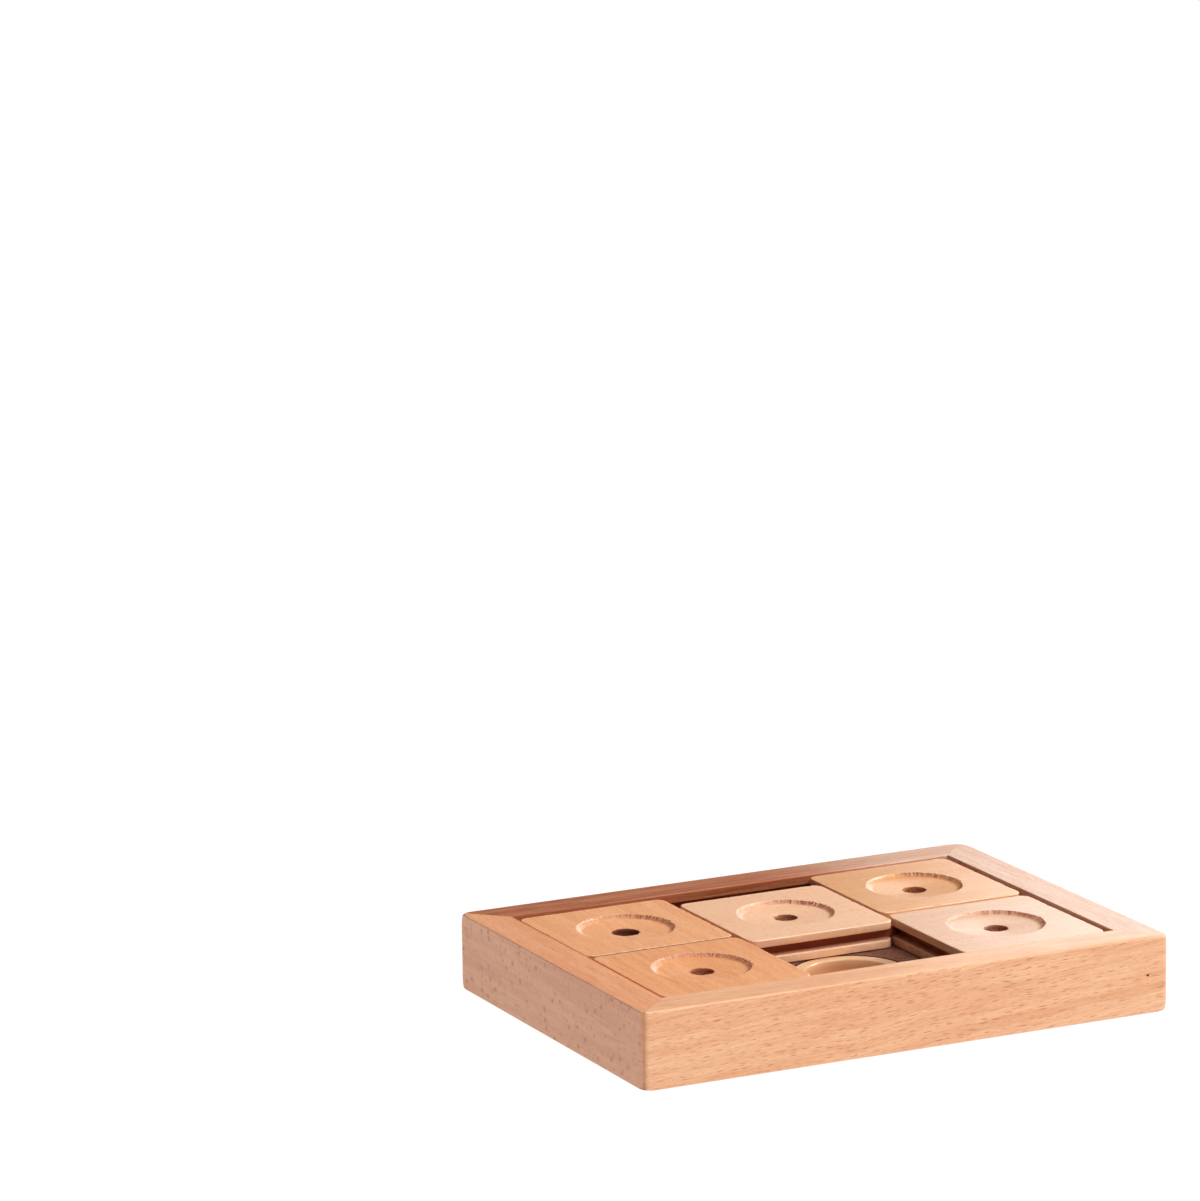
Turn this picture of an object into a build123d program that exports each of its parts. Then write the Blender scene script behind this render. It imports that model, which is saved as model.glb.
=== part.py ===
"""Sliding-tile puzzle feeder for a dog.

A mitred beech tray holds six plastic treat cups in a fibreboard base. Five square tiles
slide over the cups on tongues and grooves, and one cell is always left open.

Frame: millimetres, origin on the floor under the middle of the tray, +X to the right
along the long side, +Y to the back, +Z up. A piece's name gives its row and column.
"""

import os

from build123d import *

# ---------------------------------------------------------------- driving dimensions

# Layout of the puzzle
columns = ("left", "middle", "right")
rows = ("front", "back")
plate_size = 78.6           # side of the square wooden plates of a tile
plate_corner_radius = 5.0
tongue_reach = 6.2          # how far a tongue stands out from its plate or rail
groove_depth = 5.8          # depth of the groove that a tongue runs in
play_along = 4.6            # spare length left over when a row is pushed together
play_across = 3.6           # the same, front to back

# Layers of a tile, from the top
cover_thickness = 4.0
core_thickness = 5.0
sole_thickness = 4.2
tongue_thickness = 4.2      # the core is rebated to this outside the plates
plate_edge_radius = 0.5
dimple_radius = 23.65
dimple_slope = 2.3          # how far in the dimple's sloping wall reaches
dimple_wall_depth = 1.8     # at the foot of that wall
dimple_depth = 2.8          # in the middle, to which the floor falls
scent_hole_radius = 6.15
wide_hole_radius = 7.0      # the back left tile has a wider hole

# Frame rails
rail_width = 19.6
rail_height = 38.0
corner_radius = 3.0
outer_edge_radius = 1.2
inner_edge_radius = 0.5
strip_slot_depth = 5.0      # how deep a guide strip is glued into its rail
core_clearance = 0.2        # above and below a core in a rail's groove
rebate_width = 6.5          # ledge that the base board is glued under
tile_recess = 0.6           # the tiles' tops lie this much lower than the rails'

# Base
slide_gap = 0.3             # between the tiles' underside and the base board
board_clearance = 0.3       # round the base board and the bottom panel
panel_thickness = 3.0
panel_recess = 2.9          # the bottom panel lies this much above the rails' underside

# Treat cups
cup_mouth_radius = 22.2
cup_wall = 1.4
cup_flange_radius = 28.0
cup_flange_thickness = 1.3
cup_depth = 12.0            # inside, from the rim to the floor
cup_draft = 1.4             # how much narrower the floor is than the mouth
cup_floor_fillet = 6.0
cup_lip_radius = 1.1        # round the mouth
cup_edge_radius = 0.5       # round the flange
cup_clearance = 0.4         # round the cup in the base board

# Feet, screws and brads
foot_radius = 6.0
foot_proud = 1.0            # how far the feet stand out below the rails
foot_edge_radius = 0.4
foot_inset = 20.0           # from the panel's edges to a foot's centre
screw_radius = 1.5
screw_head_radius = 3.0
screw_length = 12.0
screw_clearance = 0.2       # round the shank in the bottom panel
screw_inset = 8.0           # from the panel's edge to a screw
screw_columns = 3
screw_rows = 2
screw_slot_length = 3.4
screw_slot_width = 0.7
screw_slot_depth = 0.8
brad_radius = 0.65
brad_length = 24.0
brad_cover = 1.5            # from the rebate's wall to the middle of a brad
brad_height = 19.3          # above the underside of the rails

# Where each tile lies: to the right of and behind its place when all the tiles are pushed
# together in the front left corner
tile_shift = {
    "front_left": (1.30, 0.61),
    "front_right": (2.71, 0.22),
    "back_left": (0.69, 1.30),
    "back_middle": (1.80, 1.22),
    "back_right": (2.90, 2.88),
}
# How far a tile is pushed forwards out of its cell
tile_advance = {"back_middle": 13.5}
# Tiles with another hole than the usual one
tile_holes = {"back_left": wide_hole_radius}

# ---------------------------------------------------------------- sizes that follow

closing_gap = tongue_reach - groove_depth       # between plates pushed together
pitch = plate_size + closing_gap                # from tile to tile when pushed together
core_size = plate_size - groove_depth + tongue_reach
core_shift = (tongue_reach + groove_depth) / 2  # to the right and to the back

inner_length = len(columns) * pitch + closing_gap + play_along
inner_width = len(rows) * pitch + closing_gap + play_across
tray_length = inner_length + 2 * rail_width
tray_width = inner_width + 2 * rail_width
cell_length = inner_length / len(columns)
cell_width = inner_width / len(rows)

rail_bottom = foot_proud
rail_top = rail_bottom + rail_height
tile_top = rail_top - tile_recess
cover_bottom = tile_top - cover_thickness
core_bottom = cover_bottom - core_thickness
tile_bottom = core_bottom - sole_thickness
tongue_bottom = core_bottom + (core_thickness - tongue_thickness) / 2
board_top = tile_bottom - slide_gap
panel_bottom = rail_bottom + panel_recess
board_bottom = panel_bottom + panel_thickness
board_thickness = board_top - board_bottom
board_length = inner_length + 2 * (rebate_width - board_clearance)
board_width = inner_width + 2 * (rebate_width - board_clearance)

cup_body_radius = cup_mouth_radius + cup_wall
screw_head_height = screw_head_radius - screw_radius    # a 90 degree countersink
screw_spacing_length = (board_length - 2 * screw_inset) / (screw_columns - 1)
screw_spacing_width = (board_width - 2 * screw_inset) / (screw_rows - 1)
brad_inset = rail_width - rebate_width - brad_cover     # from the end of a rail
brad_level = rail_bottom + brad_height

# The four sides in order round the tray, each a quarter turn further about +Z: length of
# the rail, width of the tray across it
sides = {
    "front": (tray_length, tray_width),
    "right": (tray_width, tray_length),
    "back": (tray_length, tray_width),
    "left": (tray_width, tray_length),
}


def side_plane(name):
    """The floor, turned so that a side of the tray lies along its front."""
    quarter = list(sides).index(name)
    return Plane.XY.rotated((0, 0, 90 * quarter))


def cell_of(name):
    """Column and row of a cell, counted from the front left."""
    row, column = name.split("_")
    return columns.index(column), rows.index(row)


def cell_centre(name):
    """Middle of a cell of the tray, seen from above."""
    column, row = cell_of(name)
    x = (column + 0.5) * cell_length - inner_length / 2
    y = (row + 0.5) * cell_width - inner_width / 2
    return x, y


def tile_centre(name):
    """Middle of a tile's plates, seen from above."""
    column, row = cell_of(name)
    shift_along, shift_across = tile_shift[name]
    first = closing_gap + plate_size / 2
    x = first + column * pitch + shift_along - inner_length / 2
    y = first + row * pitch + shift_across - inner_width / 2
    return x, y - tile_advance.get(name, 0)


def keep(piece, name):
    """Name a finished piece and write it."""
    piece.part.label = name
    export_step(piece.part, f"parts/{name}.step")


os.makedirs("parts", exist_ok=True)

# ---------------------------------------------------------------- brads and feet

# A brad through the right end of the front rail and one through the left end of the back
# rail hold the mitres
with BuildPart() as corner_brads:
    for name in ("front", "back"):
        side = side_plane(name)
        run, across = sides[name]
        entry = side.from_local_coords(Vector(run / 2 - brad_inset, -across / 2, brad_level))
        with BuildSketch(Plane(entry, z_dir=side.y_dir)):
            Circle(brad_radius)
        extrude(amount=brad_length)
keep(corner_brads, "corner_brads")

# Four pads are stuck under the bottom panel and stand on the floor
with BuildPart() as rubber_feet:
    with BuildSketch():
        with GridLocations(board_length - 2 * foot_inset, board_width - 2 * foot_inset, 2, 2):
            Circle(foot_radius)
    extrude(amount=panel_bottom)
    fillet(rubber_feet.edges().group_by(Axis.Z)[0], foot_edge_radius)
keep(rubber_feet, "rubber_feet")

# ---------------------------------------------------------------- frame

# The outside of the finished frame, as a solid block that the rails are trimmed to
with BuildPart() as frame_outside:
    with BuildSketch(Plane.XY.offset(rail_bottom)):
        RectangleRounded(tray_length, tray_width, corner_radius)
    extrude(amount=rail_height)
    fillet(frame_outside.edges().group_by(Axis.Z)[-1], outer_edge_radius)
    fillet(frame_outside.edges().group_by(Axis.Z)[0], outer_edge_radius)


def make_rail(name, channel_depth, channel_bottom, channel_height):
    """A mitred rail with its rebate, and a channel for a guide strip or for tongues."""
    side = side_plane(name)
    run, across = sides[name]
    outer = -across / 2
    inner = outer + rail_width
    with BuildPart() as rail:
        with BuildSketch(side.offset(rail_bottom)):
            with BuildLine():
                Polyline(
                    (-run / 2, outer),
                    (run / 2, outer),
                    (run / 2 - rail_width, inner),
                    (-run / 2 + rail_width, inner),
                    close=True,
                )
            make_face()
        extrude(amount=rail_height)
        inside_edge = rail.edges().group_by(Axis.Z)[-1].sort_by_distance((0, 0, rail_top))[0]
        fillet(inside_edge, inner_edge_radius)
        # Rebate for the base board, open below
        with BuildSketch(side.offset(rail_bottom)):
            with Locations((0, inner)):
                Rectangle(run, 2 * rebate_width)
        extrude(amount=board_top - rail_bottom, mode=Mode.SUBTRACT)
        # Channel along the inner face
        with BuildSketch(side.offset(channel_bottom)):
            with Locations((0, inner)):
                Rectangle(run, 2 * channel_depth)
        extrude(amount=channel_height, mode=Mode.SUBTRACT)
        add(corner_brads.part, mode=Mode.SUBTRACT)
        add(frame_outside.part, mode=Mode.INTERSECT)
    return rail


# Front and left rails carry a guide strip in their channel. Right and back rails have a
# wider channel that the tiles' tongues run in.
strip_channel = (strip_slot_depth, tongue_bottom, tongue_thickness)
tongue_channel = (
    groove_depth,
    core_bottom - core_clearance,
    core_thickness + 2 * core_clearance,
)
channels = {
    "front": strip_channel,
    "right": tongue_channel,
    "back": tongue_channel,
    "left": strip_channel,
}
for name, channel in channels.items():
    rail = make_rail(name, *channel)
    keep(rail, f"rail_{name}")

# The left strip runs the whole width, and the front strip butts against it
strip_width = strip_slot_depth + tongue_reach
left_strip_end = -inner_length / 2 + tongue_reach

with BuildPart() as guide_strip_left:
    with BuildSketch(Plane.XY.offset(tongue_bottom)):
        with Locations((left_strip_end, 0)):
            Rectangle(strip_width, inner_width, align=(Align.MAX, Align.CENTER))
    extrude(amount=tongue_thickness)
keep(guide_strip_left, "guide_strip_left")

with BuildPart() as guide_strip_front:
    with BuildSketch(Plane.XY.offset(tongue_bottom)):
        with Locations((left_strip_end, -inner_width / 2 + tongue_reach)):
            Rectangle(inner_length - tongue_reach, strip_width, align=(Align.MIN, Align.MAX))
    extrude(amount=tongue_thickness)
keep(guide_strip_front, "guide_strip_front")

# ---------------------------------------------------------------- base

with BuildPart() as base_board:
    with BuildSketch(Plane.XY.offset(board_bottom)):
        Rectangle(board_length, board_width)
    extrude(amount=board_thickness)
    with Locations(Plane.XY.offset(board_top)):
        with GridLocations(cell_length, cell_width, len(columns), len(rows)):
            CounterBoreHole(
                radius=cup_body_radius + cup_clearance,
                counter_bore_radius=cup_flange_radius + cup_clearance,
                counter_bore_depth=cup_flange_thickness,
            )
    # Pilot holes for the bottom screws
    with BuildSketch(Plane.XY.offset(board_bottom)):
        with GridLocations(screw_spacing_length, screw_spacing_width, screw_columns, screw_rows):
            Circle(screw_radius)
    extrude(amount=screw_length - panel_thickness, mode=Mode.SUBTRACT)
keep(base_board, "base_board")

with BuildPart() as bottom_panel:
    with BuildSketch(Plane.XY.offset(panel_bottom)):
        Rectangle(board_length, board_width)
    extrude(amount=panel_thickness)
    with Locations(Plane.XY.offset(panel_bottom).rotated((180, 0, 0))):
        with GridLocations(screw_spacing_length, screw_spacing_width, screw_columns, screw_rows):
            CounterSinkHole(
                radius=screw_radius + screw_clearance,
                counter_sink_radius=screw_head_radius + screw_clearance,
                depth=panel_thickness,
            )
keep(bottom_panel, "bottom_panel")

with BuildPart() as bottom_screws:
    with GridLocations(screw_spacing_length, screw_spacing_width, screw_columns, screw_rows):
        with Locations((0, 0, panel_bottom)):
            Cone(
                screw_head_radius,
                screw_radius,
                screw_head_height,
                align=(Align.CENTER, Align.CENTER, Align.MIN),
            )
            Cylinder(
                screw_radius,
                screw_length,
                align=(Align.CENTER, Align.CENTER, Align.MIN),
            )
            # Cross recess
            for angle in (0, 90):
                Box(
                    screw_slot_length,
                    screw_slot_width,
                    screw_slot_depth,
                    rotation=(0, 0, angle),
                    align=(Align.CENTER, Align.CENTER, Align.MIN),
                    mode=Mode.SUBTRACT,
                )
keep(bottom_screws, "bottom_screws")

# ---------------------------------------------------------------- treat cups


def make_cup(name):
    """A shallow round cup that hangs by its flange in the base board."""
    x, y = cell_centre(name)
    rim = Plane((x, y, board_top), x_dir=(1, 0, 0), z_dir=(0, -1, 0))
    floor = -cup_depth
    underside = floor - cup_wall
    floor_radius = cup_mouth_radius - cup_draft
    with BuildPart() as cup:
        with BuildSketch(rim):
            with BuildLine():
                FilletPolyline(
                    (0, underside),
                    (floor_radius + cup_wall, underside),
                    (cup_body_radius, -cup_flange_thickness),
                    (cup_flange_radius, -cup_flange_thickness),
                    (cup_flange_radius, 0),
                    (cup_mouth_radius, 0),
                    (floor_radius, floor),
                    (0, floor),
                    radius=[
                        cup_floor_fillet + cup_wall,
                        cup_edge_radius,
                        cup_edge_radius,
                        cup_edge_radius,
                        cup_lip_radius,
                        cup_floor_fillet,
                    ],
                )
                Line((0, floor), (0, underside))
            make_face()
        revolve(axis=Axis((x, y, 0), (0, 0, 1)))
    return cup


for row in rows:
    for column in columns:
        name = f"{row}_{column}"
        keep(make_cup(name), f"treat_cup_{name}")

# ---------------------------------------------------------------- tiles


def make_plate(centre, bottom, thickness, hole_radius):
    """A square wooden plate with a hole in the middle, its edges eased."""
    with BuildPart() as plate:
        with BuildSketch(Plane((*centre, bottom))):
            RectangleRounded(plate_size, plate_size, plate_corner_radius)
        extrude(amount=thickness)
        fillet(plate.edges().group_by(Axis.Z)[-1], plate_edge_radius)
        fillet(plate.edges().group_by(Axis.Z)[0], plate_edge_radius)
        with Locations((*centre, bottom + thickness)):
            Hole(hole_radius)
    return plate


def make_cover(centre, hole_radius):
    """The top plate, with a round dished dimple for a paw or nose."""
    plate = make_plate(centre, cover_bottom, cover_thickness, hole_radius)
    section = Plane((*centre, tile_top), x_dir=(1, 0, 0), z_dir=(0, -1, 0))
    with BuildPart() as cover:
        add(plate.part)
        with BuildSketch(section):
            with BuildLine():
                Polyline(
                    (0, 0),
                    (dimple_radius, 0),
                    (dimple_radius - dimple_slope, -dimple_wall_depth),
                    (0, -dimple_depth),
                    close=True,
                )
            make_face()
        revolve(axis=Axis((*centre, 0), (0, 0, 1)), mode=Mode.SUBTRACT)
    return cover


def make_core(centre, hole_radius):
    """The middle layer, shifted so that it leaves two grooves and makes two tongues."""
    x, y = centre
    core_centre = (x + core_shift, y + core_shift)
    with BuildPart() as core:
        with BuildSketch(Plane((*core_centre, tongue_bottom))):
            RectangleRounded(core_size, core_size, plate_corner_radius)
        extrude(amount=tongue_thickness)
        # Full thickness where the plates are glued on
        with BuildSketch(Plane((0, 0, core_bottom))):
            with Locations(core_centre):
                RectangleRounded(core_size, core_size, plate_corner_radius)
            with Locations(centre):
                RectangleRounded(plate_size, plate_size, plate_corner_radius, mode=Mode.INTERSECT)
        extrude(amount=core_thickness)
        with Locations((x, y, cover_bottom)):
            Hole(hole_radius)
    return core


for name in tile_shift:
    centre = tile_centre(name)
    hole_radius = tile_holes.get(name, scent_hole_radius)
    keep(make_cover(centre, hole_radius), f"tile_cover_{name}")
    keep(make_core(centre, hole_radius), f"tile_core_{name}")
    sole = make_plate(centre, tile_bottom, sole_thickness, hole_radius)
    keep(sole, f"tile_sole_{name}")
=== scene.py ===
"""Looks of the sliding-tile puzzle feeder: beech, hardboard, plastic cups, soft studio light."""
import math

import bmesh
import bpy
from mathutils import Matrix, Vector, noise


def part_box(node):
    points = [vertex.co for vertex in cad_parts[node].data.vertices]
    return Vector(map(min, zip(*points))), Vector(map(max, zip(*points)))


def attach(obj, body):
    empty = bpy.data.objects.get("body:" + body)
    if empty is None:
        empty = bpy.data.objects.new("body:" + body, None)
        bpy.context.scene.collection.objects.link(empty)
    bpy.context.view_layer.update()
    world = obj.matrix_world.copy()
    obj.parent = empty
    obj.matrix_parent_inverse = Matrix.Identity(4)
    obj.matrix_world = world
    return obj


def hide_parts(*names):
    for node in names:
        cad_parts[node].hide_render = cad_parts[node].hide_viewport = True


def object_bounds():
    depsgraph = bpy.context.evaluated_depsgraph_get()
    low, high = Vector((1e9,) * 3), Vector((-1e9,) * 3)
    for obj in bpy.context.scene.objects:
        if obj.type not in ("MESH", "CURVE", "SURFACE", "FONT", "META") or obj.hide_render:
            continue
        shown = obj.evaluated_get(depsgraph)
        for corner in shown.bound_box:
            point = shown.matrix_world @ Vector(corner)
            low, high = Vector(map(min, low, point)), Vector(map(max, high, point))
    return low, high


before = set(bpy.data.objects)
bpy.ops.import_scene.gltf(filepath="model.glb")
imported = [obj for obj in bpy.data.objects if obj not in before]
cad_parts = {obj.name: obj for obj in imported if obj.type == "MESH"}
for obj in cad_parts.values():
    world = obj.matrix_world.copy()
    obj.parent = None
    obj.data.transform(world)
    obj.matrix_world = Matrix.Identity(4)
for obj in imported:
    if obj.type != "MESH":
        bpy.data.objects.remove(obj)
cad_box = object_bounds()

MM = 0.001
RAIL_FOOT = 1.0 * MM
CUP_RIM = 24.9 * MM

# ---------------------------------------------------------------- camera

CAMERA_PLACE = Vector((-1.3390, -2.5283, 0.8233))
CAMERA_AIM = Vector((0.42757, 0.87838, -0.21361))
CAMERA_ROLL = -0.0141
CAMERA_LENS = 183.57
CAMERA_SHIFT = (-0.0040, 0.0036)


def add_camera():
    """The camera, a little rolled and shifted."""
    camera = bpy.data.objects.new("camera", bpy.data.cameras.new("camera"))
    turn = CAMERA_AIM.to_track_quat("-Z", "Y") @ Matrix.Rotation(CAMERA_ROLL, 3, "Z").to_quaternion()
    camera.location = CAMERA_PLACE
    camera.rotation_euler = turn.to_euler()
    camera.data.lens = CAMERA_LENS
    camera.data.shift_x, camera.data.shift_y = CAMERA_SHIFT
    camera.data.clip_end = 20
    bpy.context.scene.collection.objects.link(camera)
    bpy.context.scene.camera = camera


# ---------------------------------------------------------------- node helpers


class Shader:
    """A new material and short ways to add nodes to it."""

    def __init__(self, name):
        self.material = bpy.data.materials.new(name)
        self.material.use_nodes = True
        self.tree = self.material.node_tree
        self.nodes = self.tree.nodes
        self.surface = self.nodes["Principled BSDF"]

    def node(self, kind, values=(), **settings):
        """A node with its settings, and its inputs from (socket, value or output) pairs."""
        made = self.nodes.new(kind)
        for key, value in settings.items():
            setattr(made, key, value)
        for socket, value in values:
            self.put(made.inputs[socket], value)
        return made

    def put(self, socket, value):
        if isinstance(value, bpy.types.NodeSocket):
            self.tree.links.new(value, socket)
        else:
            socket.default_value = value

    def math(self, operation, *values, clamp=False):
        pairs = list(enumerate(values))
        return self.node("ShaderNodeMath", pairs, operation=operation, use_clamp=clamp).outputs[0]

    def vector(self, operation, *values, out=0):
        pairs = list(enumerate(values))
        return self.node("ShaderNodeVectorMath", pairs, operation=operation).outputs[out]

    def ease(self, value, low, high, to_low=0.0, to_high=1.0):
        """Smoothly from to_low to to_high as value goes from low to high."""
        pairs = [(0, value), (1, low), (2, high), (3, to_low), (4, to_high)]
        return self.node("ShaderNodeMapRange", pairs, interpolation_type="SMOOTHSTEP").outputs[0]

    def noise(self, vector, scale, detail=2.0, rough=0.5, out="Fac"):
        pairs = [("Vector", vector), ("Scale", scale), ("Detail", detail), ("Roughness", rough)]
        return self.node("ShaderNodeTexNoise", pairs).outputs[out]

    def drawn_out(self, vector, stretch, detail, rough):
        """Noise in millimetres, drawn out along the grain."""
        return self.noise(self.vector("MULTIPLY", vector, stretch), 1.0, detail, rough)

    def mix(self, share, a, b, blend="MIX"):
        """Colours a and b mixed."""
        made = self.node("ShaderNodeMix", data_type="RGBA", blend_type=blend)
        self.put(made.inputs[0], share)
        self.put(made.inputs[6], a)
        self.put(made.inputs[7], b)
        return made.outputs[2]

    def bump(self, height, distance, strength=1.0, below=None):
        pairs = [("Height", height), ("Distance", distance), ("Strength", strength)]
        made = self.node("ShaderNodeBump", pairs)
        if below is not None:
            self.put(made.inputs["Normal"], below)
        return made.outputs[0]

    def finish(self, **sockets):
        for name, value in sockets.items():
            self.put(self.surface.inputs[name.replace("_", " ")], value)
        return self.material


def colour(red, green, blue):
    """A screen colour from 0 to 255 as the linear colour that shaders take."""
    def linear(c):
        c = c / 255
        return c / 12.92 if c <= 0.04045 else ((c + 0.055) / 1.055) ** 2.4
    return linear(red), linear(green), linear(blue), 1.0


# ---------------------------------------------------------------- wood

FLECK = colour(198, 96, 52)
END_GRAIN = colour(208, 152, 120)
# Torn fibres; on the dimples' right-hand walls and in the holes the darker tone is partly painted
# shade
TORN_SHADE_LIGHT = colour(216, 140, 104)
TORN_SHADE_DARK = colour(140, 72, 50)
# Painted shade: brown in the holes, grooves and on the soles' ledges, near black in the deepest gaps
# and shadows
SHADE_BROWN = colour(160, 90, 66)
DEEP_SHADE = colour(62, 30, 26)
FRAYED = colour(206, 112, 72)
# A painted highlight on the tiles' eased edges and round the dimples' rims
ARRIS_HIGHLIGHT = colour(255, 224, 186)
# A painted highlight along the rails' rounded outer edges
EDGE_GLINT = colour(255, 196, 156)
MITRE_SHADE = colour(96, 54, 34)

# Along X, where the back rail's brown, partly painted shade, gives way to its pale right end, partly
# painted sheen
PALE_FROM = 20 * MM
PALE_TO = 105 * MM

# How far from its middle a tile core is painted dark round its hole, and from where it is painted
# with shade out in its grooves
HOLE_SHADE_REACH = (8 * MM, 10 * MM)
GROOVE_SHADE_REACH = (14 * MM, 22 * MM)

# A fleck pattern: the face that shows it, the cell that holds one fleck and the fleck's own
# size, in millimetres along the grain, across it and up, then its strength
LONG_DASHES = ("side", (6.4, 16.0, 1.5), (2.5, 9.0, 0.22), 0.85)
SHORT_DASHES = ("side", (5.0, 12.0, 1.3), (1.5, 7.0, 0.16), 0.6)
ROUND_SPOTS = ("side", (9.0, 14.0, 5.6), (2.0, 7.0, 1.7), 0.7)
SMALL_SPOTS = ("side", (5.0, 9.0, 3.6), (0.9, 5.0, 0.9), 0.5)
TALL_STREAKS = ("side", (6.5, 14.0, 12.0), (1.1, 7.0, 4.5), 0.28)
TOP_STREAKS = ("top", (15.0, 1.5, 9.0), (6.0, 0.2, 6.0), 0.35)
TOP_DASHES = ("top", (4.2, 1.4, 8.0), (1.4, 0.26, 5.0), 0.5)


def fleck_mask(wood, along, facing, pattern):
    """Soft spindles, one in each cell of a stretched cell pattern, on one face only."""
    face, cell, spindle, weight = pattern
    cells = wood.vector("DIVIDE", along, cell)
    voronoi = wood.node("ShaderNodeTexVoronoi", [("Vector", cells), ("Scale", 1.0)])
    offset = wood.vector("SUBTRACT", cells, voronoi.outputs["Position"])
    shape = tuple(s / c for s, c in zip(spindle, cell))
    chance = wood.node("ShaderNodeSeparateXYZ", [(0, voronoi.outputs["Color"])]).outputs
    size = wood.math("MULTIPLY_ADD", chance[1], 0.9, 0.6)
    far = wood.vector("LENGTH", wood.vector("DIVIDE", offset, shape), out=1)
    spot = wood.ease(wood.math("DIVIDE", far, size), 0.3, 1.0, 1.0, 0.0)
    strength = wood.math("MULTIPLY", wood.ease(chance[0], 0.0, 0.8, 0.25, 1.0), weight)
    return wood.math("MULTIPLY", wood.math("MULTIPLY", spot, strength), facing[face])


def plank_space(wood, place, grain, start, slope):
    """Millimetres in the plank, along the grain first: straight, and with the grain's slow sway."""
    turn = math.pi / 2 if grain == "Y" else 0.0
    pairs = [("Vector", place), ("Rotation", (0, 0, turn)), ("Scale", (MM, MM, MM))]
    turned = wood.node("ShaderNodeMapping", pairs, vector_type="TEXTURE").outputs[0]
    pairs = [("Vector", turned), ("Location", start), ("Rotation", (0, slope, slope / 2))]
    straight = wood.node("ShaderNodeMapping", pairs).outputs[0]
    slow = wood.vector("MULTIPLY", straight, (0.014, 0.035, 0.035))
    sway = wood.vector("SUBTRACT", wood.noise(slow, 1.0, 2.0, 0.5, out="Color"), (0.5, 0.5, 0.5))
    along = wood.vector("ADD", straight, wood.vector("MULTIPLY", sway, (0.0, 7.0, 7.0)))
    return straight, along


def growth(wood, along, contrast):
    """The tone of the growth bands, from 0 to 1, and the lines and fibres along the grain."""
    bands = wood.ease(wood.drawn_out(along, (0.007, 0.16, 0.2), 3.0, 0.6), 0.3, 0.7)
    lines = wood.ease(wood.drawn_out(along, (0.04, 1.0, 1.4), 4.0, 0.65), 0.3, 0.72)
    fibres = wood.drawn_out(along, (0.4, 3.4, 4.4), 3.0, 0.65)
    tone = wood.math("MULTIPLY", lines, 0.6 * contrast)
    tone = wood.math("MULTIPLY_ADD", bands, 0.5 * contrast, tone)
    tone = wood.math("MULTIPLY_ADD", wood.ease(fibres, 0.3, 0.7), 0.3 * contrast, tone)
    tone = wood.math("SUBTRACT", tone, 0.7 * contrast - 0.5, clamp=True)
    return tone, lines, fibres


def core_shading(wood, place, middle, hole_shade):
    """How dark a tile core is painted: round its hole, and with shade out in its grooves."""
    far = wood.vector("DISTANCE", place, middle, out=1)
    at_hole = wood.ease(far, *HOLE_SHADE_REACH, hole_shade, 0.0)
    return wood.math("MAXIMUM", wood.ease(far, *GROOVE_SHADE_REACH, 0.0, 2.0), at_hole)


def show_cuts_and_shading(wood, shade, straight, cut_and_shading):
    """The shade with its cuts and painted light: -1 painted highlight, 0 sanded, 1 torn and partly
    painted shade, 2 painted shade, 3 deep painted shade.
    """
    grit = wood.ease(wood.drawn_out(straight, (0.9, 2.2, 2.2), 2.0, 0.7), 0.35, 0.62)
    torn = wood.math("MINIMUM", wood.math("MAXIMUM", cut_and_shading, 0.0), 1.0)
    shade = wood.mix(torn, shade, wood.mix(grit, TORN_SHADE_DARK, TORN_SHADE_LIGHT))
    shade = wood.mix(wood.math("SUBTRACT", cut_and_shading, 1.0, clamp=True), shade, SHADE_BROWN)
    shade = wood.mix(wood.math("SUBTRACT", cut_and_shading, 2.0, clamp=True), shade, DEEP_SHADE)
    return wood.mix(wood.math("MULTIPLY", cut_and_shading, -1.0, clamp=True), shade, ARRIS_HIGHLIGHT)


def end_grain(wood, shade, straight, end):
    """The shade with browner, porous wood where a face looks along the grain."""
    pores = wood.ease(wood.drawn_out(straight, (0.3, 3.0, 3.0), 2.0, 0.6), 0.35, 0.7)
    ends = wood.mix(wood.math("MULTIPLY", pores, 0.5), END_GRAIN, FLECK)
    share = wood.math("MULTIPLY", wood.ease(end, 0.25, 0.8), 0.6)
    return wood.mix(share, shade, ends)


def face_looks(wood, normal, grain):
    """How far a face looks along the grain, and to the side and up."""
    looks = wood.node("ShaderNodeSeparateXYZ", [(0, wood.vector("ABSOLUTE", normal))]).outputs
    end, side = (looks[0], looks[1]) if grain == "X" else (looks[1], looks[0])
    return end, {"side": wood.ease(side, 0.5, 0.9), "top": wood.ease(looks[2], 0.5, 0.9)}


def rail_glint_and_wear(wood, shade, place, fibres, paler, edge_glint, frayed, mitre):
    """The shade with a painted highlight along a rail's outer edges, its frayed inner edge and mitre
    hairline.
    """
    if edge_glint:
        share = wood.math("MULTIPLY", outer_edges(wood, place), edge_glint)
        shade = wood.mix(share, shade, EDGE_GLINT)
    if frayed:
        frays = frayed_arris(wood, place, fibres, frayed)
        share = wood.math("MULTIPLY", frays, wood.math("SUBTRACT", 1.0, paler))
        shade = wood.mix(share, shade, FRAYED)
    if mitre:
        share = wood.math("MULTIPLY", mitre_line(wood, place), mitre)
        shade = wood.mix(share, shade, MITRE_SHADE)
    return shade


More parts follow.
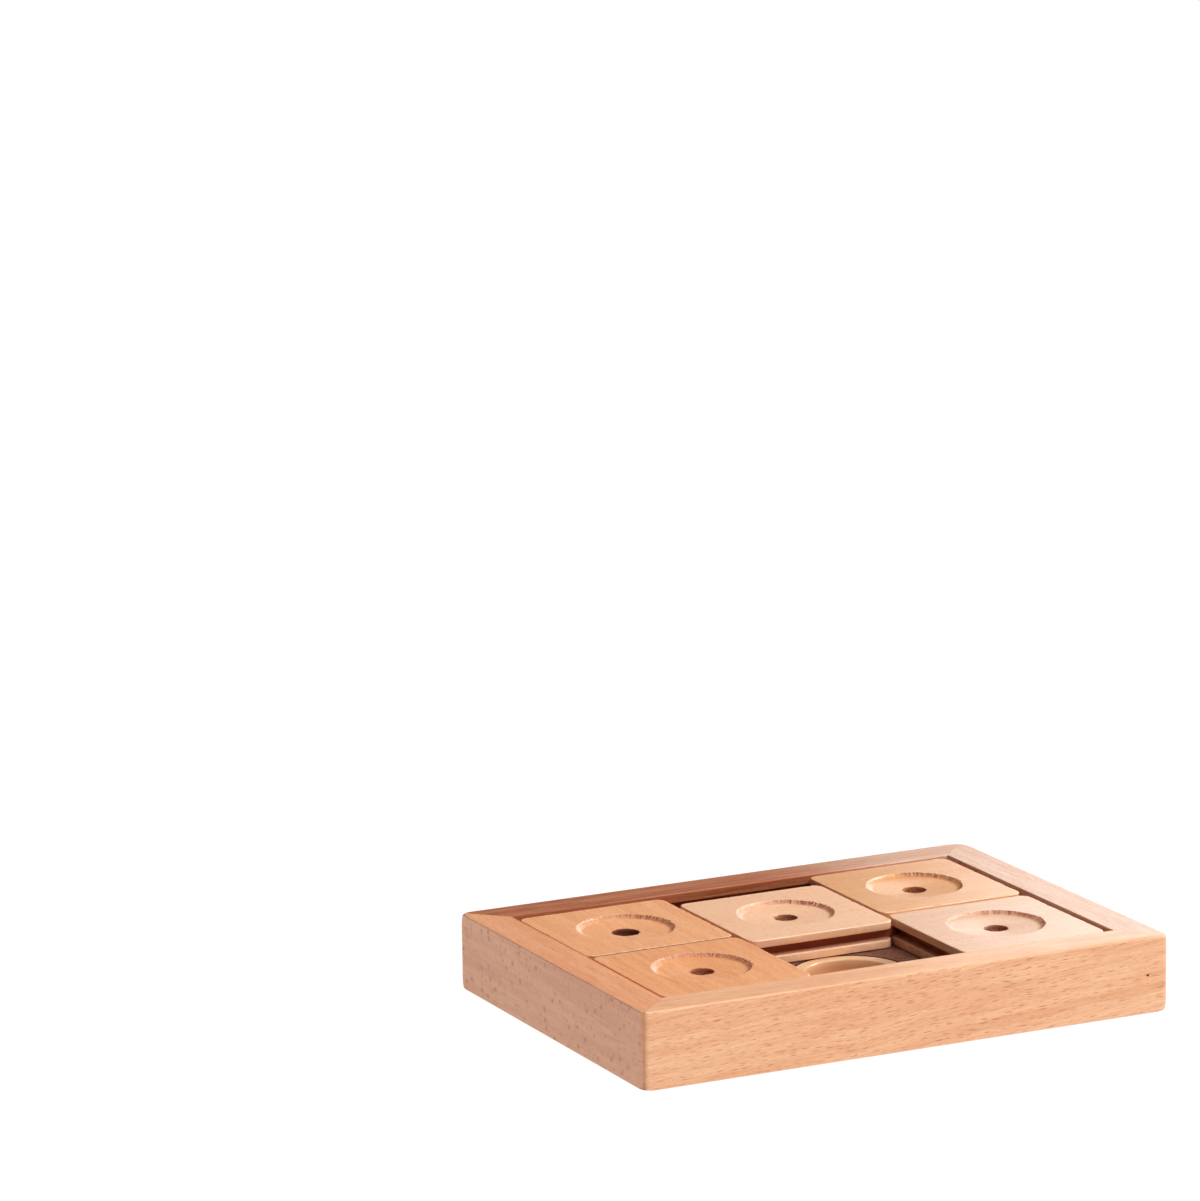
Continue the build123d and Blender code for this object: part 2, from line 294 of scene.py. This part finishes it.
def make_beech(
    name, grain, light, dark, start, patterns,
    slope=0.02, contrast=1.0, shine=0.5, edge_glint=0.0, mitre=0.0,
    crisp=False, frayed=None, pale_end=None, core=None,
):
    """Beech: soft growth bands, fine lines along the grain, ray flecks and browner end grain.

    A rail can have a painted highlight along its outer edges, show its mitre, look crisp, be
    frayed at an inner edge and turn at one end from brown, partly painted shade, to a paler tone,
    partly painted sheen. A tile core has its middle and how dark its hole is painted.
    """
    wood = Shader(name)
    place = wood.node("ShaderNodeTexCoord").outputs["Object"]
    straight, along = plank_space(wood, place, grain, start, slope)
    tone, lines, fibres = growth(wood, along, contrast)
    shade = wood.mix(tone, light, dark)
    paler = 0.0
    # The back rail's brown, partly painted shade, gives way along X to a paler tone, partly painted
    # sheen
    if pale_end:
        far = wood.node("ShaderNodeSeparateXYZ", [(0, place)]).outputs[0]
        paler = wood.ease(far, PALE_FROM, PALE_TO)
        shade = wood.mix(paler, shade, wood.mix(tone, *pale_end))

    normal = wood.node("ShaderNodeNewGeometry").outputs["Normal"]
    end, facing = face_looks(wood, normal, grain)
    flecks = 0.0
    for pattern in patterns:
        flecks = wood.math("MAXIMUM", flecks, fleck_mask(wood, along, facing, pattern))
    shade = wood.mix(flecks, shade, FLECK)
    shade = end_grain(wood, shade, straight, end)

    if core:
        cut_and_shading = core_shading(wood, place, *core)
    else:
        cut_and_shading = wood.node("ShaderNodeAttribute", attribute_name="cut_and_shading").outputs["Fac"]
    shade = show_cuts_and_shading(wood, shade, straight, cut_and_shading)
    shade = rail_glint_and_wear(wood, shade, place, fibres, paler, edge_glint, frayed, mitre)

    height = wood.math("MULTIPLY_ADD", flecks, -0.35, fibres)
    height = wood.math("MULTIPLY_ADD", lines, -0.5, height)
    below = crisp_normal(wood, normal) if crisp else None
    relief = wood.bump(height, 0.06 * MM, 0.7, below=below)
    return wood.finish(
        Base_Color=shade,
        Roughness=0.5,
        Specular_IOR_Level=0.28,
        Coat_Weight=shine,
        Coat_Roughness=wood.ease(lines, 0.0, 1.0, 0.13, 0.2),
        Coat_Normal=relief,
        Normal=relief,
    )


def outer_edges(wood, place):
    """1 along the outer edges of the tray, where a pale line is painted as a highlight, 0 elsewhere.
    """
    high = cad_box[1]
    middle = (high[2] + RAIL_FOOT) / 2
    centred = wood.vector("ABSOLUTE", wood.vector("SUBTRACT", place, (0, 0, middle)))
    inside = wood.vector("SUBTRACT", (high[0], high[1], high[2] - middle), centred)
    x, y, z = wood.node("ShaderNodeSeparateXYZ", [(0, inside)]).outputs
    upright, short, long = (wood.math("ADD", *pair) for pair in ((x, y), (x, z), (y, z)))
    near = wood.math("MINIMUM", upright, wood.math("MINIMUM", short, long))
    return wood.ease(near, 0.7 * MM, 1.3 * MM, 1.0, 0.0)


def frayed_arris(wood, place, fibres, inner):
    """1 where fibres stand up along a rail's inner top edge, at a distance from the middle."""
    part = wood.node("ShaderNodeSeparateXYZ", [(0, place)]).outputs
    across = wood.math("ABSOLUTE", wood.math("SUBTRACT", part[1], inner))
    down = wood.math("ABSOLUTE", wood.math("SUBTRACT", part[2], cad_box[1].z))
    near = wood.ease(wood.math("ADD", across, down), 0.5 * MM, 1.3 * MM, 1.0, 0.0)
    return wood.math("MULTIPLY", near, wood.ease(fibres, 0.3, 0.6, 0.3, 1.0))


def crisp_normal(wood, normal):
    """The normal as if the long edges between the top, the side and the foot were hardly rounded."""
    second = wood.vector("MULTIPLY", normal, normal)
    fourth = wood.vector("MULTIPLY", second, second)
    ninth = wood.vector("MULTIPLY", wood.vector("MULTIPLY", fourth, fourth), normal)
    sharp = wood.node("ShaderNodeSeparateXYZ", [(0, ninth)]).outputs
    part = wood.node("ShaderNodeSeparateXYZ", [(0, normal)]).outputs
    pairs = [(0, sharp[0]), (1, part[1]), (2, sharp[2])]
    change = wood.vector("SUBTRACT", wood.node("ShaderNodeCombineXYZ", pairs).outputs[0], normal)
    share = wood.ease(wood.math("ABSOLUTE", part[2]), 0.0, 0.1)
    pairs = [("Vector", change), ("Scale", share)]
    turned = wood.node("ShaderNodeVectorMath", pairs, operation="SCALE").outputs[0]
    return wood.vector("NORMALIZE", wood.vector("ADD", normal, turned))


def mitre_line(wood, place):
    """1 on the hairline where two mitred rails meet, 0 elsewhere."""
    high = cad_box[1]
    spare = high[0] - high[1]
    part = wood.node("ShaderNodeSeparateXYZ", [(0, wood.vector("ABSOLUTE", place))]).outputs
    off = wood.math("SUBTRACT", wood.math("SUBTRACT", part[0], part[1]), spare)
    return wood.ease(wood.math("ABSOLUTE", off), 0.08 * MM, 0.3 * MM, 1.0, 0.0)


# ---------------------------------------------------------------- other finishes


def make_board(name, light, dark, speck, bores=(), bore_radius=0.0):
    """Fibreboard: fine mottled fibres with dark specks, and painted shadow in the gaps round the cup
    flanges in its bores.
    """
    board = Shader(name)
    place = board.node("ShaderNodeTexCoord").outputs["Object"]
    cloud = board.noise(place, 350, 4.0, 0.6)
    fibre = board.noise(place, 900, 3.0, 0.7)
    tone = board.math("MULTIPLY_ADD", cloud, 0.5, board.math("MULTIPLY", fibre, 0.6))
    shade = board.mix(board.ease(tone, 0.35, 0.75), dark, light)
    cells = board.node("ShaderNodeTexVoronoi", [("Vector", place), ("Scale", 480.0)])
    specks = board.ease(cells.outputs["Distance"], 0.1, 0.3, 0.7, 0.0)
    shade = board.mix(specks, shade, speck)
    for bore in bores:
        far = board.vector("DISTANCE", board.vector("MULTIPLY", place, (1, 1, 0)), bore, out=1)
        # A painted shadow ring in the gap round each cup's flange
        flange_gap_shadow = board.ease(far, bore_radius + 0.5 * MM, bore_radius + 1.7 * MM, 1.0, 0.0)
        shade = board.mix(flange_gap_shadow, shade, DEEP_SHADE)
    return board.finish(Base_Color=shade, Roughness=0.7, Normal=board.bump(fibre, 0.08 * MM, 0.5))


def make_plastic():
    """Cream plastic, paler at the rim than down in the cup, where painted shade darkens it."""
    plastic = Shader("cream_cup_plastic")
    place = plastic.node("ShaderNodeTexCoord").outputs["Object"]
    cloud = plastic.noise(place, 60, 2.0, 0.5)
    height = plastic.node("ShaderNodeSeparateXYZ", [(0, place)]).outputs[2]
    down_in_shade = plastic.ease(height, CUP_RIM - 4 * MM, CUP_RIM - 0.3 * MM, 1.0, 0.0)
    rim = plastic.mix(cloud, colour(234, 192, 150), colour(225, 180, 136))
    wall = plastic.mix(cloud, colour(211, 155, 114), colour(202, 146, 104))
    shade = plastic.mix(down_in_shade, rim, wall)
    haze = plastic.ease(plastic.noise(place, 400, 3.0, 0.6), 0.3, 0.8, 0.06, 0.13)
    return plastic.finish(Base_Color=shade, Roughness=haze)


def make_rubber():
    """Matt black rubber."""
    rubber = Shader("black_foot_rubber")
    place = rubber.node("ShaderNodeTexCoord").outputs["Object"]
    grit = rubber.noise(place, 1500, 2.0, 0.6)
    shade = rubber.mix(grit, colour(26, 26, 27), colour(44, 43, 42))
    return rubber.finish(Base_Color=shade, Roughness=0.8, Normal=rubber.bump(grit, 0.05 * MM, 0.4))


def make_steel(name, light, dark, rough):
    """Dull steel with worn patches."""
    steel = Shader(name)
    place = steel.node("ShaderNodeTexCoord").outputs["Object"]
    wear = steel.noise(place, 1800, 3.0, 0.6)
    shade = steel.mix(wear, light, dark)
    return steel.finish(
        Base_Color=shade,
        Metallic=1.0,
        Roughness=steel.ease(wear, 0.3, 0.7, rough - 0.08, rough + 0.08),
    )


# ---------------------------------------------------------------- rails

RAIL_CORNER = 3.0 * MM
TIP_HEIGHT = 6.0 * MM
WELD = 0.001 * MM
CREASE = math.radians(40)
FLAT = 0.99999

# The tips are sanded by hand, so no two are alike: side along X, along Y, and up or down
TIP_RADII = {
    (-1, -1, 1): 3.4 * MM,
    (-1, -1, -1): 7.0 * MM,
    (-1, 1, 1): 6.0 * MM,
    (-1, 1, -1): 5.0 * MM,
    (1, -1, 1): 5.0 * MM,
    (1, -1, -1): 6.5 * MM,
    (1, 1, 1): 10.0 * MM,
    (1, 1, -1): 6.0 * MM,
}


def square_reach(angle, half, corner):
    """Distance from the middle of a rounded square to its outline, in a direction."""
    c, s = abs(math.cos(angle)), abs(math.sin(angle))
    flat = half / max(c, s)
    if min(c, s) * flat <= half - corner:
        return flat
    along = (half - corner) * (c + s)
    return along + math.sqrt(along * along - 2 * (half - corner) ** 2 + corner * corner)


def finished(shape, name):
    """The shape as an object with smooth curves, true flats and crisp edges."""
    mesh = bpy.data.meshes.new(name)
    shape.to_mesh(mesh)
    shape.free()
    mesh.shade_smooth()
    mesh.set_sharp_from_angle(angle=CREASE)
    for face in mesh.polygons:
        face.use_smooth = max(abs(part) for part in face.normal) < FLAT
    piece = bpy.data.objects.new(name, mesh)
    bpy.context.scene.collection.objects.link(piece)
    return piece


def tip_cuts():
    """Where planes a millimetre apart give the tips points to bend by: an axis and a place."""
    high = cad_box[1]
    cuts = []
    for axis in (0, 1):
        for side in (-1, 1):
            cuts += [(axis, side * (high[axis] - step * MM)) for step in range(1, 11)]
    cuts += [(2, RAIL_FOOT + step * MM) for step in range(2, 7)]
    cuts += [(2, high[2] - step * MM) for step in range(2, 7)]
    return cuts


def round_tips(node):
    """A rail whose corner tips, above and below, are sanded rounder than its long edges."""
    high = cad_box[1]
    shape = bmesh.new()
    shape.from_mesh(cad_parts[node].data)
    bmesh.ops.remove_doubles(shape, verts=shape.verts, dist=WELD)
    for axis, place in tip_cuts():
        spot = [place if axis == k else 0.0 for k in range(3)]
        towards = [1.0 if axis == k else 0.0 for k in range(3)]
        parts = shape.verts[:] + shape.edges[:] + shape.faces[:]
        bmesh.ops.bisect_plane(shape, geom=parts, dist=WELD / 10, plane_co=spot, plane_no=towards)
    middle = (RAIL_FOOT + high[2]) / 2
    for vert in shape.verts:
        sides = (vert.co.x, vert.co.y, vert.co.z - middle)
        tip = tuple(int(math.copysign(1, part)) for part in sides)
        radius = TIP_RADII[tip]
        centre = [tip[k] * (high[k] - radius) for k in (0, 1)]
        out = [abs(vert.co[k]) - abs(centre[k]) for k in (0, 1)]
        if min(out) <= 0:
            continue
        near = max(0.0, 1 - (high[2] - middle - abs(vert.co.z - middle)) / TIP_HEIGHT)
        share = 1 - math.sqrt(1 - near * near)
        reach = square_reach(math.atan2(out[1], out[0]), radius, RAIL_CORNER)
        scale = 1 + share * (radius / reach - 1)
        vert.co.x = centre[0] + (vert.co.x - centre[0]) * scale
        vert.co.y = centre[1] + (vert.co.y - centre[1]) * scale
    return finished(shape, node + "_sanded")


# ---------------------------------------------------------------- tile plates

RING_POINTS = 720
DIMPLE_RADIUS = 23.65 * MM
DIMPLE_SLOPE = 3.2 * MM
DIMPLE_WALL_DEPTH = 1.8 * MM
DIMPLE_DEPTH = 2.8 * MM
PLATE_CORNER = 5.0 * MM
EDGE_RADIUS = 0.6 * MM
HOLE_RADII = {"back_left": 6.75 * MM}
HOLE_RADIUS = 5.95 * MM
HOLE_LIP = 0.1 * MM

# Where the dimple's wall is torn most and painted darkest, on its right-hand side for either grain,
# and how far round it reaches; the dark there is partly painted shade
TORN_AND_SHADED_TOWARDS = {"X": (math.radians(20), -0.2), "Y": (math.radians(15), -0.35)}

# Shares of the way up the wall, and how much of the tearing each one shows
WALL_STEPS = ((0.0, 0.0), (0.2, 0.0), (0.4, 0.1), (0.6, 0.3), (0.75, 0.5), (0.88, 0.8), (0.97, 1.0))

# Turns of an eased edge in degrees, fine at the top and coarser at the bottom
TOP_TURNS = (0, 18, 36, 54, 72, 90)
BOTTOM_TURNS = (90, 60, 30, 0)
ARRIS_TURN = 40


def ripple(angle, pitch, radius, seed):
    """Noise round a circle, with bumps about a pitch apart, between -1 and 1."""
    far = radius / pitch
    return noise.noise(Vector((far * math.cos(angle), far * math.sin(angle), 0)) + seed)


def add_ring(shape, edges, middle, reach, level, cut_and_shading):
    """Extrudes a ring of edges out to reach(angle) at a level, and marks how it looks, with its
    painted light and shade.
    """
    made = bmesh.ops.extrude_edge_only(shape, edges=edges)["geom"]
    layer = shape.verts.layers.float["cut_and_shading"]
    for vert in (g for g in made if isinstance(g, bmesh.types.BMVert)):
        angle = math.atan2(vert.co.y - middle.y, vert.co.x - middle.x)
        far = reach(angle)
        vert.co = Vector((middle.x + far * math.cos(angle), middle.y + far * math.sin(angle), level))
        vert[layer] = cut_and_shading(angle)
    return [g for g in made if isinstance(g, bmesh.types.BMEdge) and g.is_boundary]


def even(value):
    """The same value in every direction."""
    return lambda angle: value


def tear_and_shade(angle, grain, seed):
    """How torn and darkly painted the dimple's wall is in a direction: 0 where it is clean, 1 where
    it is worst; the dark is partly painted shade.
    """
    peak, spread = TORN_AND_SHADED_TOWARDS[grain]
    facing = math.cos(angle - peak)
    near = max(0.0, facing + spread) / (1 + spread)
    least = 0.28 - 0.25 * min(0.0, facing) if grain == "X" else 0.28
    patch = 1 + 0.4 * ripple(angle, 18 * MM, DIMPLE_RADIUS, seed)
    return min(1.0, max(least, near ** 0.7) * patch)


def saw(angle, seed):
    """Slanted teeth about two millimetres apart, some deep and some missing."""
    step = angle * DIMPLE_RADIUS / (2 * MM) + 0.8 * ripple(angle, 4 * MM, DIMPLE_RADIUS, seed)
    return (step % 1) ** 2 * max(0.0, ripple(angle, 3 * MM, DIMPLE_RADIUS, seed) + 0.35)


def dimple_rings(hole, top, grain, seed):
    """Rings across the dished floor and up its curved wall, torn and partly painted with shade on
    its right-hand side.
    """
    foot = DIMPLE_RADIUS - DIMPLE_SLOPE
    wall_curve = (DIMPLE_SLOPE ** 2 + DIMPLE_WALL_DEPTH ** 2) / (2 * DIMPLE_WALL_DEPTH)

    def floor(far):
        fall = (DIMPLE_DEPTH - DIMPLE_WALL_DEPTH) * (1 - far / foot)
        return top - DIMPLE_WALL_DEPTH - fall

    def stripes(angle):
        return 0.85 + 0.9 * ripple(angle, 1.0 * MM, DIMPLE_RADIUS, seed)

    def wall(share, tear):
        """Part of the way up the wall, moved outwards where the fibres are torn."""
        def reach(angle):
            teeth = max(0.0, ripple(angle, 1.1 * MM, DIMPLE_RADIUS, seed) + 0.1)
            fine = abs(ripple(angle, 0.5 * MM, DIMPLE_RADIUS, seed))
            rough = 1.1 * teeth + 0.5 * fine + 1.9 * saw(angle, seed)
            notch = tear_and_shade(angle, grain, seed) * rough + 0.06 * fine
            return foot + share * DIMPLE_SLOPE + tear * notch * MM
        return reach

    def marked(share):
        """How the wall looks there: torn in stripes and partly painted with shade, more so higher
        up.
        """
        mark = min(1.0, max(0.0, share - 0.2) / 0.4)
        return lambda angle: mark * tear_and_shade(angle, grain, seed) * stripes(angle)

    def mouth(angle):
        return hole + (0.03 + 0.9 * max(0.0, ripple(angle, 1.0 * MM, hole, seed))) * MM

    rings = [(mouth, floor(hole), even(0))]
    for far in (hole + 1.0 * MM, (hole + foot) / 2, foot - 0.6 * MM):
        rings.append((even(far), floor(far), even(0)))
    for share, tear in WALL_STEPS:
        rise = wall_curve - math.sqrt(wall_curve ** 2 - (share * DIMPLE_SLOPE) ** 2)
        rings.append((wall(share, tear), top - DIMPLE_WALL_DEPTH + rise, marked(share)))
    # A pale line round the dimple's rim: painted highlight
    rings.append((wall(1.03, 1.0), top, even(-0.5)))
    rings.append((wall(1.16, 0.8), top, even(0)))
    for far in (2.4 * MM, 5 * MM):
        rings.append((even(DIMPLE_RADIUS + far), top, even(0)))
    return rings


def eased(turn):
    """How far in, and how far from the face, an edge is once it has turned some degrees."""
    lean = math.radians(turn)
    return EDGE_RADIUS * (1 - math.sin(lean)), EDGE_RADIUS * (1 - math.cos(lean))


class Plate:
    """A square plate with a hole, its edges eased and a little chipped, with a dimple or flat.

    A tight plate lies close behind another, and its front edge has painted shadow of the gap below
    the painted highlight of its arris.
    """

    def __init__(self, node, hole, grain, dimple, tight):
        self.node = node
        self.hole = hole
        self.grain = grain
        self.dimple = dimple
        self.tight = tight
        self.low, self.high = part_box(node)
        self.middle = (self.low + self.high) / 2
        self.half = (self.high.x - self.low.x) / 2
        self.seed = Vector((self.low.x * 90, self.low.y * 90, self.high.z * 500))

    def hole_shade(self, angle):
        """One hole is painted with deep shade all round, the others with shade most on their
        right-hand walls.
        """
        return 2.4 if self.hole > HOLE_RADIUS else 0.8 + 0.8 * math.cos(angle)

    def chip(self, angle):
        """How much of the edge is chipped away."""
        coarse = max(0.0, ripple(angle, 3.4 * MM, self.half, self.seed))
        return max(0.0, ripple(angle, 1.5 * MM, self.half, self.seed)) + coarse

    def outline(self, inset, chips=0.0):
        """The plate's outline, set in from its sides but less so on the left."""
        def reach(angle):
            left = min(1.0, max(0.0, (-math.cos(angle) - 0.68) / 0.08))
            less = inset * (1 - 0.65 * left)
            whole = square_reach(angle, self.half - less, PLATE_CORNER - less)
            return whole - chips * self.chip(angle) * 0.6 * MM
        return reach

    def lit_arris(self, angle):
        """A painted highlight on the front and back edges, where the eased arris catches light,
        darker in the chips.
        """
        cut_and_shading = self.chip(angle) - 0.9
        return cut_and_shading if abs(math.sin(angle)) > abs(math.cos(angle)) else max(0.0, cut_and_shading)

    def shaded(self, angle):
        """Painted shadow of the gap on the front edge of a tight plate, the painted arris highlight
        elsewhere.
        """
        front = -math.sin(angle) > abs(math.cos(angle))
        return 2.6 if self.tight and front else self.lit_arris(angle)

    def top_rings(self):
        """Rings up the hole and across the top, to where the edge starts to turn."""
        top = self.high.z
        mouth = top - (DIMPLE_DEPTH + HOLE_LIP if self.dimple else HOLE_LIP)
        rings = [(even(self.hole), mouth, self.hole_shade)]
        if self.dimple:
            rings += dimple_rings(self.hole, top, self.grain, self.seed)
        else:
            # A sole's ledge, seen in the groove, is painted with shade, darker towards the core and
            # the hole
            rings.append((even(self.hole + HOLE_LIP), top, even(1.6)))
            rings.append((even(DIMPLE_RADIUS), top, even(2.0)))
        rings.append((self.outline(EDGE_RADIUS + 0.9 * MM), top, even(0 if self.dimple else 0.3)))
        return rings

    def edge_rings(self):
        """Rings round the eased edge, and under the plate back to its hole."""
        rings = []
        for turn in TOP_TURNS:
            inset, fall = eased(turn)
            look = even(0)
            # Turns near the top get the painted arris highlight, lower ones too, except on a tight
            # plate's front, which gets painted gap shadow
            if 0 < turn < 90:
                look = self.lit_arris if turn < ARRIS_TURN else self.shaded
            outline = self.outline(inset, math.cos(math.radians(turn) / 1.2))
            rings.append((outline, self.high.z - fall, look))
        for turn in BOTTOM_TURNS:
            inset, rise = eased(turn)
            # A painted shadow along a sole's lower edge, where it sits just above the board
            contact_shadow = turn < ARRIS_TURN and not self.dimple
            rings.append((self.outline(inset), self.low.z + rise, even(2.5 if contact_shadow else 0)))
        rings.append((even(DIMPLE_RADIUS), self.low.z, even(0)))
        rings.append((even(self.hole), self.low.z, self.hole_shade))
        return rings

    def make(self):
        """The plate as a finished object, swept ring by ring from the foot of its hole."""
        shape = bmesh.new()
        layer = shape.verts.layers.float.new("cut_and_shading")
        start = bmesh.ops.create_circle(
            shape, cap_ends=False, radius=self.hole, segments=RING_POINTS,
            matrix=Matrix.Translation((self.middle.x, self.middle.y, self.low.z)),
        )
        for vert in start["verts"]:
            angle = math.atan2(vert.co.y - self.middle.y, vert.co.x - self.middle.x)
            vert[layer] = self.hole_shade(angle)
        ring = shape.edges[:]
        for reach, level, cut_and_shading in self.top_rings() + self.edge_rings():
            ring = add_ring(shape, ring, self.middle, reach, level, cut_and_shading)
        bmesh.ops.remove_doubles(shape, verts=shape.verts, dist=WELD)
        bmesh.ops.recalc_face_normals(shape, faces=shape.faces)
        return finished(shape, self.node + "_milled")


# ---------------------------------------------------------------- light and floor


WORLD_LIGHT = 0.07
FLOOR_SIZE = 6

# The soft boxes: name, place, width and height, power
SOFT_BOXES = (
    ("side_key", (2.1, -0.15, 1.5), (1.2, 1.0), 45),
    ("front_box", (0.5, -1.6, 1.9), (1.4, 1.0), 36),
    ("overhead", (0, 0, 2.3), (1.8, 1.8), 13),
    ("window", (2.17, 2.0, 0.8), (1.74, 1.2), 14.5),
)


def add_area(name, place, size, power):
    """A soft box aimed at the middle of the floor."""
    light = bpy.data.lights.new(name, "AREA")
    light.shape = "RECTANGLE"
    light.size, light.size_y = size
    light.energy = power
    lamp = bpy.data.objects.new(name, light)
    lamp.location = place
    lamp.rotation_euler = (-Vector(place)).to_track_quat("-Z", "Y").to_euler()
    bpy.context.scene.collection.objects.link(lamp)


def add_studio():
    """Soft boxes in a dim white world, and bright paper to stand on."""
    world = bpy.data.worlds.new("studio")
    world.use_nodes = True
    background = world.node_tree.nodes["Background"].inputs
    background["Color"].default_value = (1, 1, 1, 1)
    background["Strength"].default_value = WORLD_LIGHT
    bpy.context.scene.world = world
    for box in SOFT_BOXES:
        add_area(*box)
    bpy.context.scene.view_settings.view_transform = "Standard"

    shape = bmesh.new()
    bmesh.ops.create_grid(shape, x_segments=1, y_segments=1, size=FLOOR_SIZE)
    mesh = bpy.data.meshes.new("floor")
    shape.to_mesh(mesh)
    shape.free()
    floor = bpy.data.objects.new("floor", mesh)
    bpy.context.scene.collection.objects.link(floor)
    paper = Shader("floor_paper")
    paper.finish(
        Base_Color=(0.04, 0.04, 0.04, 1),
        Roughness=0.9,
        Emission_Color=(1, 1, 1, 1),
        Emission_Strength=1.0,
    )
    mesh.materials.append(paper.material)


# ---------------------------------------------------------------- putting it together


def dress(node, material):
    """Gives a CAD node its finish."""
    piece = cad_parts[node]
    piece.data.materials.clear()
    piece.data.materials.append(material)


def dress_rails():
    """The rails, each from a plank of its own; the back rail's brown is partly painted shade, the
    pale tones at the right partly painted sheen.
    """
    fronts = (LONG_DASHES, SHORT_DASHES, TOP_STREAKS)
    ends = (ROUND_SPOTS, SMALL_SPOTS, TALL_STREAKS, TOP_STREAKS, TOP_DASHES)
    light, dark = colour(254, 199, 155), colour(233, 161, 113)
    front = make_beech("beech_front", "X", light, dark, (0, 0, 0), fronts, slope=0.07, edge_glint=0.25)
    light, dark = colour(251, 184, 137), colour(232, 148, 101)
    left = make_beech(
        "beech_left", "Y", light, dark, (120, 90, 33), ends, edge_glint=0.15, mitre=0.5, crisp=True
    )
    # The right rail's pale, pinkish tone is partly painted sheen
    light, dark = colour(234, 195, 166), colour(217, 160, 127)
    right = make_beech("beech_right", "Y", light, dark, (530, 20, 61), ends, edge_glint=0.3)
    # The back rail: brown, partly painted shade, turning pale towards its right end, partly painted
    # sheen
    light, dark = colour(198, 125, 84), colour(160, 85, 50)
    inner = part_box("rail_back")[0].y
    pale = (colour(232, 192, 163), colour(214, 158, 126))
    back = make_beech(
        "beech_back", "X", light, dark, (310, 40, 7), fronts,
        contrast=1.5, edge_glint=0.15, frayed=inner, pale_end=pale,
    )
    woods = {"rail_front": front, "rail_left": left, "rail_right": right, "rail_back": back}
    for node, wood in woods.items():
        rail = round_tips(node)
        rail.data.materials.append(wood)
        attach(rail, "tray")
        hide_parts(node)


# The wood of each tile: grain, lighter and darker tone, place in the plank, contrast, shine
TILE_WOODS = {
    "front_left": ("Y", colour(253, 183, 127), colour(236, 154, 99), (40, 0, 0), 1.1, 0.5),
    "back_left": ("Y", colour(255, 190, 137), colour(240, 162, 109), (260, 30, 11), 1.0, 0.5),
    "back_middle": ("X", colour(255, 208, 170), colour(248, 186, 143), (410, 70, 23), 0.6, 0.5),
    "front_right": ("X", colour(244, 201, 167), colour(234, 180, 143), (650, 10, 41), 0.6, 0.65),
    "back_right": ("X", colour(251, 186, 125), colour(237, 162, 101), (830, 50, 87), 0.7, 0.95),
}


def dress_tiles():
    """The tiles: a milled cover and sole, and a core painted darker round its hole and with shade in
    its grooves.
    """
    for name, (grain, light, dark, start, contrast, shine) in TILE_WOODS.items():
        plank = (grain, light, dark, start)
        wood = make_beech("beech_" + name, *plank, (TOP_DASHES,), contrast=contrast, shine=shine)
        hole = HOLE_RADII.get(name, HOLE_RADIUS)
        for layer in ("cover", "sole"):
            node = "tile_" + layer + "_" + name
            plate = Plate(node, hole, grain, layer == "cover", name == "back_left").make()
            plate.data.materials.append(wood)
            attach(plate, "tile_" + name)
            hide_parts(node)
        # The core is painted darker round its hole, with deep shade in the one wider hole
        low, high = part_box("tile_cover_" + name)
        shaded_core = ((low + high) / 2, 2.5 if name in HOLE_RADII else 1.0)
        core = make_beech("core_" + name, *plank, (), shine=0.1, core=shaded_core)
        dress("tile_core_" + name, core)


def dress_rest():
    """The boards, cups, feet, screws and brads."""
    tones = (colour(98, 62, 44), colour(60, 36, 26), colour(40, 24, 18))
    hardboard = make_board("dark_hardboard", *tones)
    dress("guide_strip_front", hardboard)
    dress("guide_strip_left", hardboard)

    cups = [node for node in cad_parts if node.startswith("treat_cup")]
    boxes = [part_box(node) for node in cups]
    bores = [((low.x + high.x) / 2, (low.y + high.y) / 2, 0) for low, high in boxes]
    flange = (boxes[0][1].x - boxes[0][0].x) / 2
    tones = (colour(150, 97, 73), colour(92, 52, 38), colour(60, 32, 22))
    dress("base_board", make_board("base_fibreboard", *tones, bores, flange))
    tones = (colour(160, 116, 84), colour(124, 84, 60), colour(92, 60, 44))
    dress("bottom_panel", make_board("panel_hardboard", *tones))

    plastic = make_plastic()
    for node in cups:
        dress(node, plastic)
    dress("rubber_feet", make_rubber())
    light, dark = (0.62, 0.60, 0.56, 1), (0.45, 0.43, 0.40, 1)
    dress("bottom_screws", make_steel("screw_steel", light, dark, 0.35))
    light, dark = (0.06, 0.05, 0.05, 1), (0.03, 0.03, 0.03, 1)
    dress("corner_brads", make_steel("brad_steel", light, dark, 0.5))


add_camera()
add_studio()
dress_rails()
dress_tiles()
dress_rest()
